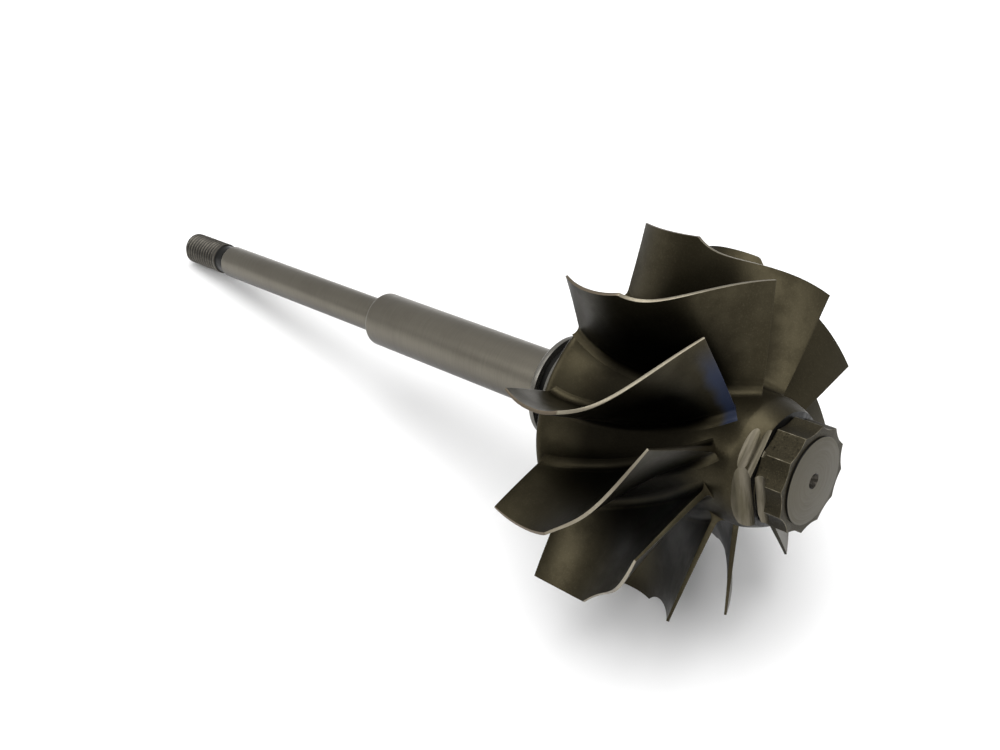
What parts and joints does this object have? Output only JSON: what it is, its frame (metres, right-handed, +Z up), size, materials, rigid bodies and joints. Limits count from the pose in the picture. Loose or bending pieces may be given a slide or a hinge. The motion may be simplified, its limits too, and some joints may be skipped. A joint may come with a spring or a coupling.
{
  "type": "turbocharger turbine wheel",
  "caption": "Radial-inflow turbine wheel with curved cast blades, a round hub with a slotted nose nut, a ring-groove collar and a stepped steel shaft with a threaded end, lying on its side.",
  "frame": {"origin": "on the bench, under the middle of the whole part's box", "axes": "+Z up from the bench; +X towards the wheel's nose, along the shaft as seen from above; the shaft's own axis climbs 12 degrees towards the nose in the XZ plane"},
  "size_m": [0.2958, 0.1162, 0.1134],
  "materials": {
    "cast_alloy": "satin cast nickel alloy, dark brown-grey with a fine grain",
    "turned_steel": "turned steel, fine rings",
    "polished_steel": "polished steel",
    "ground_steel": "ground steel, warm grey satin",
    "thread_steel": "dark oiled steel"
  },
  "bodies": {
    "root": {"wheel_hub": "cast_alloy", "blade_01": "cast_alloy", "blade_02": "cast_alloy", "blade_03": "cast_alloy", "blade_04": "cast_alloy", "blade_05": "cast_alloy", "blade_06": "cast_alloy", "blade_07": "cast_alloy", "blade_08": "cast_alloy", "blade_09": "cast_alloy", "blade_10": "cast_alloy", "nose_neck": "cast_alloy", "nose_nut": "cast_alloy", "weld_boss": "turned_steel", "ring_land_inner": "polished_steel", "ring_groove": "polished_steel", "ring_land_outer": "polished_steel", "bearing_journal": "ground_steel", "compressor_shank": "ground_steel", "thread_relief": "thread_steel", "shaft_thread": "thread_steel"}
  },
  "joints": []
}
